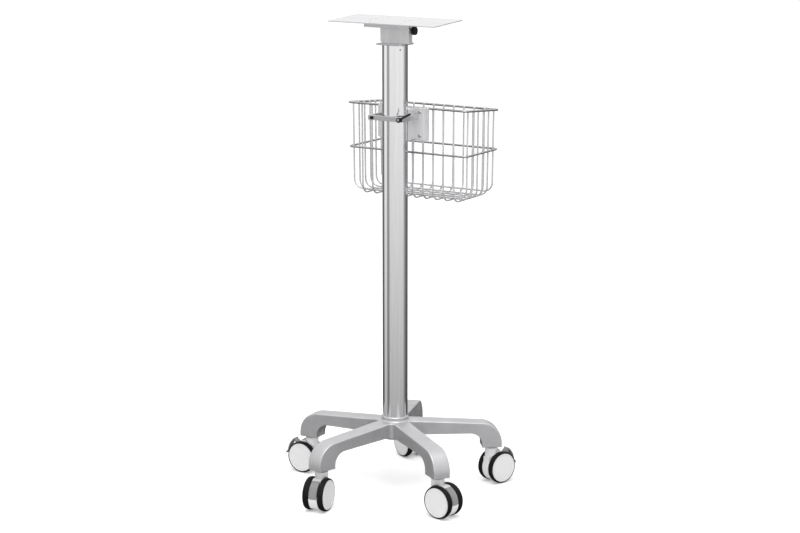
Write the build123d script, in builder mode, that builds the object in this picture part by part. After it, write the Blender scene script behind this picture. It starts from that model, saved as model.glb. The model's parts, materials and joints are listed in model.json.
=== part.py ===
from build123d import *
import os
from math import cos, radians, sin, sqrt

# Wheeled roll stand that carries a portable ultrasound scanner. Lengths are in millimetres.
# The floor is z = 0. The origin is under the middle of the stand's outline, and the column
# stands a little to one side of it. +X runs along the device plate, -Y is the front.

# ---- driving dimensions ----
column_x = 24.2            # column axis, from the origin
column_y = 8.3
column_radius = 27.0
column_wall = 2.5
column_foot = 163.0
column_top = 966.0

first_arm_angle = 38.9     # the arm at the back right, the others follow every 72 degrees
arm_count = 5
arm_width = 37.0
arm_reach = 233.4          # from the column axis to the outer face of a foot
foot_length = 43.0
foot_bottom = 85.0
hub_radius = 29.0
hub_bottom = 113.0
stem_circle = 212.4

wheel_radius = 35.5
cap_radius = 32.2
hub_disc_radius = 30.0
caster_width = 48.0
hood_width = 19.0
caster_trail = 16.0
stem_radius = 5.5
neck_radius = 14.0
axle_radius = 3.0
running_gap = 0.05         # radial clearance of a shaft in its hole
m4_radius = 2.0            # shanks of the small screws, and their clearance holes
m4_hole = 2.05

tilt = 2.8                 # the device plate leans forward by this many degrees
pivot_height = 996.5
plate_length = 262.0
plate_depth = 115.0
plate_thickness = 2.0
hole_square = 75.0         # spacing of the device plate's four holes

rim_length = 295.0
rim_depth = 139.0
rim_near_y = 42.5          # centre of the rim's near wire, behind the column axis
rim_near_z = 830.4
rim_far_z = 818.6
ring_z = 734.0
basket_x = 1.0             # the basket's middle, beside the column axis
basket_floor = 633.0
rim_wire = 2.5             # wire radii
ring_wire = 2.25
thin_wire = 1.8
lean = 0.012               # the wires' lean inwards, per unit of height
cross_pitch = 25.4
cross_count = 10
long_pitch = 22.0
long_count = 6
bend_radius = 20.0

os.makedirs("parts", exist_ok=True)


# ---- planes and helpers ----
def level(z, x=0.0, y=0.0):
    """Horizontal plane at height z, about the column's axis."""
    return Plane(origin=(column_x + x, column_y + y, z))


def from_front(y=0.0, z=0.0, x=0.0):
    """Upright plane across the stand, seen from the front: local x is +X, local y is up."""
    return Plane(origin=(column_x + x, column_y + y, z), x_dir=(1, 0, 0), z_dir=(0, -1, 0))


def from_side(x=0.0, z=0.0, y=0.0):
    """Upright plane seen from the right: local x is +Y, local y is up."""
    return Plane(origin=(column_x + x, column_y + y, z), x_dir=(0, 1, 0), z_dir=(1, 0, 0))


def write(piece, name):
    piece.label = name
    export_step(piece, f"parts/{name}.step")


# ---- star base ----
arm_angles = [first_arm_angle + 360 / arm_count * i for i in range(arm_count)]
root_top = 153.0           # heights of the casting's top: at the hub, where the arms leave it, at their ends
root_reach = 48.0
shoulder_top = 151.0
arm_top = 141.0
shoulder_radius = 46.0     # the arm's end curves down to the foot
shoulder_x = arm_reach - shoulder_radius
shoulder_z = 95.0
armpit_radius = 27.6       # the hollow curve between arm and foot
armpit_z = 91.0
underside = 118.4
root_underside = 118.0
foot_inner = arm_reach - foot_length
fork_fillet = 8.0
edge_round = 2.2
hub_fillet = 4.0
hub_bore = 6.5
washer_pocket = 14.0
washer_pocket_depth = 12.0
stem_depth = 35.0


def on_shoulder(angle):
    """Point on the curve over the arm's end, at an angle above the horizontal."""
    turn = radians(angle)
    return (shoulder_x + shoulder_radius * cos(turn), shoulder_z + shoulder_radius * sin(turn))


def in_armpit(angle):
    turn = radians(angle)
    return (foot_inner - armpit_radius * (1 - cos(turn)), armpit_z + armpit_radius * sin(turn))


with BuildPart() as star_base:
    # the casting has the same heights all round: its side view is revolved, then cut to the star
    with BuildSketch(from_front()):
        with BuildLine():
            Polyline((0, root_underside), (0, root_top), (root_reach, shoulder_top))
            Line((root_reach, shoulder_top), on_shoulder(90))
            ThreePointArc(on_shoulder(90), on_shoulder(45), on_shoulder(0))
            Polyline(on_shoulder(0), (arm_reach, foot_bottom), (foot_inner, foot_bottom), in_armpit(0))
            ThreePointArc(in_armpit(0), in_armpit(38), in_armpit(84))
            Polyline(in_armpit(84), (root_reach, underside + 2), (0, root_underside))
        make_face()
    revolve(axis=Axis((column_x, column_y, 0), (0, 0, 1)))
    with BuildSketch(level(0)) as star:
        with PolarLocations(0, arm_count, start_angle=first_arm_angle):
            Rectangle(arm_reach + 1, arm_width, align=(Align.MIN, Align.CENTER))
        fillet(star.vertices().filter_by(lambda v: sqrt(v.X**2 + v.Y**2) < root_reach), radius=fork_fillet)
    extrude(amount=root_top, mode=Mode.INTERSECT)
    outline = star_base.edges().filter_by(lambda e: abs((e @ 0).Z - (e @ 1).Z) < abs(e.length) * 0.98)
    fillet(outline.filter_by(lambda e: e.center().Z > underside + 12), radius=edge_round)
    with BuildSketch(level(hub_bottom)):
        Circle(hub_radius)
    extrude(amount=column_foot - hub_bottom)
    chamfer(star_base.edges().filter_by(GeomType.CIRCLE).group_by(Axis.Z)[-1], length=edge_round)
    hub_root = star_base.edges().filter_by(GeomType.CIRCLE).filter_by_position(Axis.Z, 145, root_top)
    fillet(hub_root.filter_by(lambda e: abs(e.radius - hub_radius) < 0.1), radius=hub_fillet)
    with BuildSketch(level(hub_bottom)):
        Circle(hub_bore)
    extrude(amount=column_foot - hub_bottom, mode=Mode.SUBTRACT)
    with BuildSketch(level(hub_bottom)):
        Circle(washer_pocket)
    extrude(amount=washer_pocket_depth, mode=Mode.SUBTRACT)
    with BuildSketch(level(foot_bottom)):
        with PolarLocations(stem_circle, arm_count, start_angle=first_arm_angle):
            Circle(stem_radius + running_gap)
    extrude(amount=stem_depth, mode=Mode.SUBTRACT)
write(star_base.part, "star_base")

# ---- column and its fixing to the base ----
tube_bore = column_radius - column_wall
set_screw_z = 957.0
set_screw_angle = -34.0
set_screw_radius = 2.0
set_screw_plane = Plane(
    origin=(column_x, column_y, set_screw_z),
    x_dir=(0, 0, 1),
    z_dir=(cos(radians(set_screw_angle)), sin(radians(set_screw_angle)), 0),
)
with BuildPart() as column:
    with BuildSketch(level(column_foot)):
        Circle(column_radius)
        Circle(tube_bore, mode=Mode.SUBTRACT)
    extrude(amount=column_top - column_foot)
    with BuildSketch(set_screw_plane):
        Circle(set_screw_radius + running_gap)
    extrude(amount=column_radius + 1, mode=Mode.SUBTRACT)
write(column.part, "column")

plug_height = 40.0
bolt_radius = 6.0
bolt_head = 10.4           # across the corners, halved
bolt_head_height = 7.5
washer_radius = 12.0
washer_thickness = 2.5
pocket_roof = hub_bottom + washer_pocket_depth
bolt_seat = pocket_roof - washer_thickness
bolt_tip = column_foot + plug_height - 5
with BuildPart() as column_plug:
    with BuildSketch(level(column_foot)):
        Circle(tube_bore - running_gap)
        Circle(bolt_radius + running_gap, mode=Mode.SUBTRACT)
    extrude(amount=plug_height)
write(column_plug.part, "column_plug")

with BuildPart() as column_washer:
    with BuildSketch(level(bolt_seat)):
        Circle(washer_radius)
        Circle(hub_bore, mode=Mode.SUBTRACT)
    extrude(amount=washer_thickness)
write(column_washer.part, "column_washer")

with BuildPart() as column_bolt:
    with BuildSketch(level(bolt_seat - bolt_head_height)):
        RegularPolygon(bolt_head, 6)
    extrude(amount=bolt_head_height)
    with BuildSketch(level(bolt_seat)):
        Circle(bolt_radius)
    extrude(amount=bolt_tip - bolt_seat)
write(column_bolt.part, "column_bolt")

# ---- casters ----
# name: (arm number, direction in which the wheels trail, whether it has a brake)
casters = {
    "back_right": (0, 70.5, True),
    "back": (1, 152.0, False),
    "left": (2, 180.0, True),
    "front": (3, -79.2, False),
    "right": (4, -10.4, False),
}
stem_collar_thickness = 3.0
stem_below_neck = 18.0
swivel_gap = 0.4
neck_top = foot_bottom - stem_collar_thickness - swivel_gap
neck_bottom = 56.0
neck_round = 1.0
hood_radius = wheel_radius - 2
hood_gap = 0.8             # from the tyres to the hollowed neck
hood_cut = 8.0             # the hood is cut off flat this far above the floor
wheel_inner = hood_width / 2 + 0.5
wheel_outer = caster_width / 2
axle_inset = 4.0
tyre_start = wheel_inner + 0.4
tyre_end = wheel_outer - 0.6
tyre_crown = 1.4
tyre_shoulder = 1.6
cap_step = tyre_end - 1.4
cap_disc = wheel_outer - 0.8
cap_lip = 2.2
# grey panel, without and with a brake above it: its flat's distance from the axle, its bulge,
# and how far it is turned up from the trailing end
plain_panel = (26.4, 6.9, 32.0)
braked_panel = (29.0, 1.8, 0.0)
panel_gap = 0.3
panel_inset = 0.8
pedal_pin = (16.5, 24.5)   # pivot of the brake pedal, from the axle: along the trail and up
pedal_pin_radius = 1.5
pedal_root = 2.9           # radius of the pedal's eye
pedal_root_half = 5.8
pedal_mouth = 20.0
mouth_room = 4.2           # from the pin to the mouth's two inner walls
pedal_pad_half = 7.5
pad_radius = 44.0          # the pad follows the wheels at this distance from the axle
pad_thickness = 2.4
pad_start, pad_end = 52.0, 9.0
pad_lip = (52.0, -0.5)


def caster_plane(arm_number, trail_angle, z):
    """Horizontal plane on a caster's stem: local x points the way the wheels trail."""
    a = radians(arm_angles[arm_number])
    t = radians(trail_angle)
    return Plane(
        origin=(column_x + stem_circle * cos(a), column_y + stem_circle * sin(a), z),
        x_dir=(cos(t), sin(t), 0),
        z_dir=(0, 0, 1),
    )


def axle_plane(arm_number, trail_angle, along=0.0):
    """Upright plane across the axle, at a distance along it: local x is the trail, local y is up."""
    p = caster_plane(arm_number, trail_angle, wheel_radius)
    side = -p.y_dir
    return Plane(
        origin=p.origin + p.x_dir * caster_trail + side * along, x_dir=p.x_dir, z_dir=side
    )


def panel_plane(spot, raised):
    """The plane across the axle, turned up by an angle about the axle."""
    base = axle_plane(*spot)
    turn = radians(raised)
    return Plane(base.origin, x_dir=base.x_dir * cos(turn) + base.y_dir * sin(turn), z_dir=base.z_dir)


def make_stem(spot):
    with BuildPart() as stem:
        with BuildSketch(caster_plane(*spot, neck_top - stem_below_neck)):
            Circle(stem_radius - 0.5)
        extrude(amount=stem_below_neck + swivel_gap)
        with BuildSketch(caster_plane(*spot, foot_bottom - stem_collar_thickness)):
            Circle(neck_radius)
        extrude(amount=stem_collar_thickness)
        with BuildSketch(caster_plane(*spot, foot_bottom)):
            Circle(stem_radius)
        extrude(amount=stem_depth - 2)
    return stem.part.solid()


def make_hood(spot, brake):
    with BuildPart() as hood:
        with BuildSketch(axle_plane(*spot)):
            Circle(hood_radius)
            with Locations((-caster_trail, (neck_bottom - wheel_radius) / 2)):
                Rectangle(2 * neck_radius, neck_bottom - wheel_radius + 8)
            with Locations((0, -wheel_radius)):
                Rectangle(3 * hood_radius, 2 * hood_cut, mode=Mode.SUBTRACT)
        extrude(amount=hood_width / 2, both=True)
        with BuildSketch(caster_plane(*spot, neck_bottom)):
            Circle(neck_radius)
        extrude(amount=neck_top - neck_bottom)
        fillet(hood.edges().filter_by(GeomType.CIRCLE).sort_by(Axis.Z)[-1], radius=neck_round)
        # the neck is hollowed where the tyres pass
        for side in (-1, 1):
            with BuildSketch(axle_plane(*spot, along=side * hood_width / 2)):
                Circle(wheel_radius + hood_gap)
            extrude(amount=side * neck_radius, mode=Mode.SUBTRACT)
        # running hole for the stem, and for the axle
        with BuildSketch(caster_plane(*spot, neck_top - stem_below_neck - 1)):
            Circle(stem_radius - 0.5 + running_gap)
        extrude(amount=stem_below_neck + 2, mode=Mode.SUBTRACT)
        with BuildSketch(axle_plane(*spot)):
            Circle(axle_radius + running_gap)
        extrude(amount=hood_width, both=True, mode=Mode.SUBTRACT)
        # flat for the grey panel at the trailing end
        seat = braked_panel if brake else plain_panel
        with BuildSketch(panel_plane(spot, seat[2])):
            with Locations((seat[0], 0)):
                Rectangle(hood_radius, 2 * hood_radius, align=(Align.MIN, Align.CENTER))
        extrude(amount=hood_width, both=True, mode=Mode.SUBTRACT)
        if brake:
            # mouth for the pedal's root, and the hole for its pin
            with BuildSketch(axle_plane(*spot)):
                with Locations((pedal_pin[0] - mouth_room, pedal_pin[1] - mouth_room)):
                    Rectangle(pedal_mouth, pedal_mouth, align=(Align.MIN, Align.MIN))
            extrude(amount=pedal_root_half + 0.5, both=True, mode=Mode.SUBTRACT)
            with BuildSketch(axle_plane(*spot)):
                with Locations(pedal_pin):
                    Circle(pedal_pin_radius)
            extrude(amount=hood_width, both=True, mode=Mode.SUBTRACT)
    return hood.part


def make_panel(spot, brake):
    """Grey panel that closes the flat at the trailing end of the hood."""
    flat, bulge, raised = braked_panel if brake else plain_panel
    half = sqrt(hood_radius**2 - flat**2) - panel_gap
    with BuildPart() as panel:
        with BuildSketch(panel_plane(spot, raised)):
            with BuildLine():
                Line((flat, -half), (flat, half))
                ThreePointArc((flat, half), (flat + bulge, 0), (flat, -half))
            make_face()
        extrude(amount=hood_width / 2 - panel_inset, both=True)
    return panel.part


def make_axle(spot):
    with BuildPart() as axle:
        with BuildSketch(axle_plane(*spot)):
            Circle(axle_radius)
        extrude(amount=wheel_outer - axle_inset, both=True)
    return axle.part


def spin_plane(spot):
    """Plane through the axle, for profiles that are turned about it: local x is the radius."""
    base = axle_plane(*spot)
    return Plane(base.origin, x_dir=base.x_dir, z_dir=base.y_dir)


def make_wheels(spot):
    """Two wheel centres, each a disc with its cap in one moulding, pressed on the axle."""
    pair = []
    for side in (-1, 1):
        base = axle_plane(*spot)
        with BuildPart() as wheel:
            with BuildSketch(spin_plane(spot)):
                with BuildLine():
                    Polyline(
                        (0, side * wheel_inner),
                        (hub_disc_radius, side * wheel_inner),
                        (hub_disc_radius, side * cap_step),
                        (cap_radius, side * cap_step),
                        (cap_radius, side * cap_disc),
                        (cap_radius - cap_lip / 2, side * wheel_outer),
                        (cap_radius - cap_lip, side * cap_disc),
                        (0, side * cap_disc),
                        close=True,
                    )
                make_face()
            revolve(axis=Axis(base.origin, base.z_dir))
            with BuildSketch(base):
                Circle(axle_radius)
            extrude(amount=wheel_outer - axle_inset, both=True, mode=Mode.SUBTRACT)
        pair.append(wheel.part.solid())
    return Compound(children=pair)


def make_tyres(spot):
    """A tyre round each wheel centre, notched for the cap."""
    pair = []
    tread = wheel_radius - tyre_crown
    for side in (-1, 1):
        base = axle_plane(*spot)
        inner_corner = (tread, side * tyre_start)
        shoulder = (tread, side * (tyre_end - tyre_shoulder))
        crown = (wheel_radius, side * (tyre_start + tyre_end - tyre_shoulder) / 2)
        with BuildPart() as tyre:
            with BuildSketch(spin_plane(spot)):
                with BuildLine():
                    Polyline(
                        inner_corner,
                        (hub_disc_radius, side * tyre_start),
                        (hub_disc_radius, side * cap_step),
                        (cap_radius, side * cap_step),
                        (cap_radius, side * tyre_end),
                        (tread - tyre_shoulder / 2, side * tyre_end),
                        shoulder,
                    )
                    ThreePointArc(shoulder, crown, inner_corner)
                make_face()
            revolve(axis=Axis(base.origin, base.z_dir))
        pair.append(tyre.part.solid())
    return Compound(children=pair)


def on_pad(angle, radius):
    turn = radians(angle)
    return (radius * cos(turn), radius * sin(turn))


def make_pedal(spot):
    """Foot lever: an eye and arm in the hood's mouth, and a pad that follows the wheels."""
    eye_x, eye_z = pedal_pin
    outside = pad_radius + pad_thickness
    middle = (pad_start + pad_end) / 2
    lip_end = (pad_lip[0] - pad_thickness, pad_lip[1] - pad_thickness / 2)
    with BuildPart() as pedal:
        with BuildSketch(axle_plane(*spot)):
            with Locations(pedal_pin):
                Circle(pedal_root)
            with BuildLine():
                Polyline(
                    (eye_x - pedal_root, eye_z),
                    on_pad(pad_start, pad_radius + 0.2),
                    on_pad(pad_start - 9, pad_radius + 0.2),
                    (eye_x + pedal_root, eye_z),
                    close=True,
                )
            make_face()
        extrude(amount=pedal_root_half, both=True)
        with BuildSketch(axle_plane(*spot)):
            with BuildLine():
                ThreePointArc(
                    on_pad(pad_start, outside), on_pad(middle, outside), on_pad(pad_end, outside)
                )
                Polyline(on_pad(pad_end, outside), pad_lip, lip_end, on_pad(pad_end, pad_radius))
                ThreePointArc(
                    on_pad(pad_end, pad_radius), on_pad(middle, pad_radius), on_pad(pad_start, pad_radius)
                )
                Line(on_pad(pad_start, pad_radius), on_pad(pad_start, outside))
            make_face()
        extrude(amount=pedal_pad_half, both=True)
        with BuildSketch(axle_plane(*spot)):
            with Locations(pedal_pin):
                Circle(pedal_pin_radius + running_gap)
        extrude(amount=caster_width, both=True, mode=Mode.SUBTRACT)
    return pedal.part


def make_pedal_pin(spot):
    with BuildPart() as pin:
        with BuildSketch(axle_plane(*spot)):
            with Locations(pedal_pin):
                Circle(pedal_pin_radius)
        extrude(amount=hood_width / 2 - 0.3, both=True)
    return pin.part


stems = []
for place, (arm_number, trail_angle, has_brake) in casters.items():
    spot = (arm_number, trail_angle)
    stems.append(make_stem(spot))
    write(make_hood(spot, has_brake), f"{place}_caster_hood")
    write(make_panel(spot, has_brake), f"{place}_caster_panel")
    write(make_axle(spot), f"{place}_caster_axle")
    write(make_wheels(spot), f"{place}_caster_wheels")
    write(make_tyres(spot), f"{place}_caster_tyres")
    if has_brake:
        write(make_pedal(spot), f"{place}_brake_pedal")
        write(make_pedal_pin(spot), f"{place}_brake_pin")
write(Compound(children=stems), "caster_stems")

# ---- top of the column ----
collar_length, collar_depth = 62.0, 56.0
collar_corner = 4.0
collar_thickness = 3.0
spigot_length = 36.0
spigot_bore = 19.0
bracket_screw_spots = [(-11.0, 0.0), (14.0, 0.0)]
with BuildPart() as top_collar:
    with BuildSketch(level(column_top)):
        Rectangle(collar_length, collar_depth)
        chamfer(vertices(), length=collar_corner)
    extrude(amount=collar_thickness)
    with BuildSketch(level(column_top)):
        Circle(tube_bore - running_gap)
    extrude(amount=-spigot_length)
    with BuildSketch(level(column_top)):
        Circle(spigot_bore)
    extrude(amount=-spigot_length, mode=Mode.SUBTRACT)
    with BuildSketch(set_screw_plane):
        Circle(set_screw_radius + running_gap)
    extrude(amount=column_radius + 1, mode=Mode.SUBTRACT)
    with BuildSketch(level(column_top)):
        with Locations(*bracket_screw_spots):
            Circle(m4_hole)
    extrude(amount=collar_thickness, mode=Mode.SUBTRACT)
write(top_collar.part, "top_collar")

set_screw_start = spigot_bore + 1.5
set_screw_end = column_radius + 0.3
set_screw_socket = 1.1
with BuildPart() as set_screw:
    with BuildSketch(set_screw_plane.offset(set_screw_start)):
        Circle(set_screw_radius)
    extrude(amount=set_screw_end - set_screw_start)
    with BuildSketch(set_screw_plane.offset(set_screw_end)):
        RegularPolygon(set_screw_socket, 6)
    extrude(amount=-1.6, mode=Mode.SUBTRACT)
write(set_screw.part, "collar_set_screw")

box_middle = 3.0
box_length = 70.0
box_depth = 14.0
box_wall = 1.5
box_floor = 7.0
box_foot_bend = 4.0        # the folded sheet is bent up at the left end
box_bottom = column_top + collar_thickness
box_top = pivot_height + 6.0
pin_radius = 2.5
pin_fit = 0.02
with BuildPart() as box_bracket:
    with BuildSketch(from_front(x=box_middle)):
        with BuildLine():
            half = box_length / 2
            Polyline(
                (-half, box_top),
                (-half, box_bottom + box_foot_bend),
                (-half + box_foot_bend, box_bottom),
                (half, box_bottom),
                (half, box_top),
                close=True,
            )
        make_face()
    extrude(amount=box_depth / 2, both=True)
    bend_line = box_bracket.edges().filter_by(Axis.Y).group_by(Axis.X)[0].sort_by(Axis.Z)[0]
    fillet(bend_line, radius=box_foot_bend)
    with BuildSketch(level(box_top, x=box_middle)):
        Rectangle(box_length - 2 * box_wall, box_depth - 2 * box_wall)
    extrude(amount=box_bottom + box_floor - box_top, mode=Mode.SUBTRACT)
    with BuildSketch(from_side(z=pivot_height)):
        Circle(pin_radius + pin_fit)
    extrude(amount=box_length, both=True, mode=Mode.SUBTRACT)
    with BuildSketch(level(box_bottom)):
        with Locations(*bracket_screw_spots):
            Circle(m4_hole)
    extrude(amount=box_floor + 1, mode=Mode.SUBTRACT)
write(box_bracket.part, "box_bracket")

bracket_screw_head = (3.5, 2.6)    # radius and height
bracket_screw_set = []
for x, y in bracket_screw_spots:
    with BuildPart() as bracket_screw:
        with BuildSketch(level(column_top - 3, x, y)):
            Circle(m4_radius)
        extrude(amount=3 + collar_thickness + box_floor)
        with BuildSketch(level(box_bottom + box_floor, x, y)):
            Circle(bracket_screw_head[0])
        extrude(amount=bracket_screw_head[1])
    bracket_screw_set.append(bracket_screw.part.solid())
write(Compound(children=bracket_screw_set), "bracket_screws")

box_right = box_middle + box_length / 2
bush_radius = 5.5
bush_length = 4.0
knob_gap = 0.5
knob_radius = 8.6
knob_length = 9.0
knob_start = box_right + bush_length + knob_gap
pin_start = box_middle - box_length / 2
pin_end = knob_start + knob_length - 2
with BuildPart() as tilt_pin:
    with BuildSketch(from_side(x=pin_start, z=pivot_height)):
        Circle(pin_radius)
    extrude(amount=pin_end - pin_start)
    chamfer(tilt_pin.edges().filter_by(GeomType.CIRCLE), length=0.5)
write(tilt_pin.part, "tilt_pin")

with BuildPart() as knob_washer:
    with BuildSketch(from_side(x=box_right, z=pivot_height)):
        Circle(bush_radius)
        Circle(pin_radius + pin_fit, mode=Mode.SUBTRACT)
    extrude(amount=bush_length)
    outer_rim = knob_washer.edges().filter_by(GeomType.CIRCLE).group_by(Axis.X)[-1].sort_by(SortBy.RADIUS)[-1]
    chamfer(outer_rim, length=0.8)
write(knob_washer.part, "knob_washer")

flute_count = 10
flute_radius = 2.2
with BuildPart() as clamp_knob:
    with BuildSketch(from_side(x=knob_start, z=pivot_height)):
        Circle(knob_radius)
        with PolarLocations(knob_radius + 1.3, flute_count):
            Circle(flute_radius, mode=Mode.SUBTRACT)
    extrude(amount=knob_length)
    with BuildSketch(from_side(x=knob_start, z=pivot_height)):
        Circle(pin_radius + running_gap)
    extrude(amount=pin_end - knob_start + 0.5, mode=Mode.SUBTRACT)
write(clamp_knob.part, "clamp_knob")

# ---- tilting head: drawn level, on planes that lean with it about the pivot ----
lean_plane = Plane(
    origin=(column_x, column_y, pivot_height),
    x_dir=(1, 0, 0),
    z_dir=(0, -sin(radians(tilt)), cos(radians(tilt))),
)
lean_side = Plane(origin=lean_plane.origin, x_dir=lean_plane.y_dir, z_dir=(1, 0, 0))


def head_level(z):
    return lean_plane.offset(z - pivot_height)


plate_underside = 1014.7
channel_bottom = 1001.5
channel_middle = -11.0     # the channel reaches further to the left of the column
channel_length = 110.0
channel_depth = 34.0
channel_wall = 2.0
web_underside = plate_underside - channel_wall
tongue_length = box_length - 2 * box_wall - 1.0
tongue_thickness = 7.6
tongue_below_pin = 7.0
plate_screw_grid = (84.0, 18.0)
plate_hole_radius = 2.6
plate_corner = 1.5

with BuildPart() as tilt_tongue:
    with BuildSketch(lean_side.offset(box_middle)):
        with Locations((0, -tongue_below_pin)):
            Rectangle(
                tongue_thickness,
                web_underside - pivot_height + tongue_below_pin,
                align=(Align.CENTER, Align.MIN),
            )
        Circle(pin_radius + running_gap, mode=Mode.SUBTRACT)
    extrude(amount=tongue_length / 2, both=True)
write(tilt_tongue.part, "tilt_tongue")

with BuildPart() as channel_strip:
    with BuildSketch(head_level(channel_bottom)):
        with Locations((channel_middle, 0)):
            Rectangle(channel_length, channel_depth)
    extrude(amount=plate_underside - channel_bottom)
    with BuildSketch(head_level(channel_bottom)):
        with Locations((channel_middle, 0)):
            Rectangle(channel_length, channel_depth - 2 * channel_wall)
    extrude(amount=web_underside - channel_bottom, mode=Mode.SUBTRACT)
    with BuildSketch(head_level(web_underside)):
        with Locations((channel_middle, 0)):
            with GridLocations(*plate_screw_grid, 2, 2):
                Circle(m4_hole)
    extrude(amount=channel_wall, mode=Mode.SUBTRACT)
write(channel_strip.part, "channel_strip")

countersink = 3.6
countersink_depth = countersink - m4_hole
screw_below_plate = 6.5
with BuildPart() as top_plate:
    with BuildSketch(head_level(plate_underside)):
        RectangleRounded(plate_length, plate_depth, plate_corner)
        with GridLocations(hole_square, hole_square, 2, 2):
            Circle(plate_hole_radius, mode=Mode.SUBTRACT)
        with Locations((channel_middle, 0)):
            with GridLocations(*plate_screw_grid, 2, 2):
                Circle(m4_hole, mode=Mode.SUBTRACT)
    extrude(amount=plate_thickness)
    with BuildSketch(head_level(plate_underside + plate_thickness)):
        with Locations((channel_middle, 0)):
            with GridLocations(*plate_screw_grid, 2, 2):
                Circle(countersink)
    extrude(amount=-countersink_depth, taper=45, mode=Mode.SUBTRACT)
write(top_plate.part, "top_plate")

plate_screw_set = []
for grid_spot in GridLocations(*plate_screw_grid, 2, 2):
    x, y = grid_spot.position.X + channel_middle, grid_spot.position.Y
    foot = lean_plane.origin + lean_plane.x_dir * x + lean_plane.y_dir * y
    axis_plane = Plane(origin=foot, x_dir=lean_plane.x_dir, z_dir=lean_plane.z_dir)
    top_of_screw = plate_underside + plate_thickness - pivot_height
    with BuildPart() as plate_screw:
        with BuildSketch(axis_plane.offset(top_of_screw)):
            Circle(countersink - running_gap)
        extrude(amount=-countersink_depth, taper=45)
        with BuildSketch(axis_plane.offset(top_of_screw - screw_below_plate)):
            Circle(m4_radius)
        extrude(amount=screw_below_plate)
    plate_screw_set.append(plate_screw.part.solid())
write(Compound(children=plate_screw_set), "plate_screws")

# ---- basket ----
rim_slope = (rim_near_z - rim_far_z) / rim_depth
rim_middle_y = rim_near_y + rim_depth / 2
rim_middle_z = (rim_near_z + rim_far_z) / 2
ring_shrink = lean * (rim_near_z - ring_z) - (ring_wire - rim_wire)
ring_length = rim_length - 2 * ring_shrink
ring_depth = rim_depth - 2 * ring_shrink


def loop(plane, length, depth, corner, wire_radius):
    """A round wire bent to a closed rectangle with rounded corners."""
    with BuildSketch(plane) as outline:
        RectangleRounded(length, depth, corner)
    path = outline.sketch.face().outer_wire()
    with BuildPart() as wire:
        with BuildSketch(Plane(origin=path @ 0, z_dir=path % 0)):
            Circle(wire_radius)
        sweep(path=path)
    return wire.part


rim_plane = Plane(
    origin=(column_x + basket_x, column_y + rim_middle_y, rim_middle_z),
    x_dir=(1, 0, 0),
    z_dir=(0, rim_slope, 1),
)
write(loop(rim_plane, rim_length, rim_depth * sqrt(1 + rim_slope**2), 10, rim_wire), "basket_rim")
ring_plane = level(ring_z, basket_x, rim_middle_y)
write(loop(ring_plane, ring_length, ring_depth, 9, ring_wire), "basket_ring")

weld_gap = 0.03


def rim_height(y):
    """Height of the rim's centre at a distance y behind the column's axis."""
    return rim_near_z - rim_slope * (y - rim_near_y)


def bent_wire(points, corner):
    """A round wire along a line of points, with its corners bent."""
    with BuildPart() as wire:
        with BuildLine() as path:
            FilletPolyline(*points, radius=corner)
        line = path.wires()[0]
        with BuildSketch(Plane(origin=line @ 0, z_dir=line % 0)):
            Circle(thin_wire)
        sweep(path=line)
    return wire.part.solid()


def leg_half(ring_size, z):
    """Half the distance between the two legs of a bent wire at height z."""
    return ring_size / 2 - ring_wire - thin_wire - weld_gap + lean * (z - ring_z)


cross_floor_half = leg_half(ring_depth, basket_floor)
cross_wires = []
for i in range(cross_count):
    x = column_x + basket_x + cross_pitch * (i - (cross_count - 1) / 2)
    near = rim_middle_y - leg_half(ring_depth, rim_near_z)
    far = rim_middle_y + leg_half(ring_depth, rim_far_z)
    cross_wires.append(bent_wire(
        [
            (x, column_y + near, rim_height(near)),
            (x, column_y + rim_middle_y - cross_floor_half, basket_floor),
            (x, column_y + rim_middle_y + cross_floor_half, basket_floor),
            (x, column_y + far, rim_height(far)),
        ],
        bend_radius,
    ))
write(Compound(children=cross_wires), "basket_cross_wires")


def long_wire_floor(from_middle):
    """The long wires rest on the cross wires: on their flat, or inside their bends."""
    between = 2 * thin_wire + weld_gap
    into_bend = abs(from_middle) - (cross_floor_half - bend_radius)
    if into_bend <= 0:
        return basket_floor + between
    return basket_floor + bend_radius - sqrt((bend_radius - between) ** 2 - into_bend**2)


long_wires = []
for i in range(long_count):
    from_middle = long_pitch * (i - (long_count - 1) / 2)
    y = rim_middle_y + from_middle
    top, floor = rim_height(y), long_wire_floor(from_middle)
    top_half, floor_half = leg_half(ring_length, top), leg_half(ring_length, floor)
    middle_x = column_x + basket_x
    long_wires.append(bent_wire(
        [
            (middle_x - top_half, column_y + y, top),
            (middle_x - floor_half, column_y + y, floor),
            (middle_x + floor_half, column_y + y, floor),
            (middle_x + top_half, column_y + y, top),
        ],
        bend_radius,
    ))
write(Compound(children=long_wires), "basket_long_wires")

# ---- basket mounting and column clamp ----
panel_x = -3.5             # middle of the mounting plate, beside the column axis
panel_back = rim_near_y - rim_wire
panel_thickness = 3.0
panel_front = panel_back - panel_thickness
panel_low, panel_high = 762.0, 832.0
panel_half = 63.0
panel_corner = 4.0
screw_half = 43.5
screw_low, screw_high = 772.0, 822.5
screw_spots = [(side * screw_half, z) for side in (-1, 1) for z in (screw_low, screw_high)]
arm_low, arm_high = 808.0, 818.0
stud_x = 32.0
stud_z = (arm_low + arm_high) / 2
stud_radius = 3.0

with BuildPart() as mounting_plate:
    with BuildSketch(from_front(y=panel_back, x=panel_x)):
        with Locations((0, (panel_low + panel_high) / 2)):
            RectangleRounded(2 * panel_half, panel_high - panel_low, panel_corner)
        with Locations(*screw_spots):
            Circle(m4_hole, mode=Mode.SUBTRACT)
    extrude(amount=panel_thickness)
write(mounting_plate.part, "mounting_plate")

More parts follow.
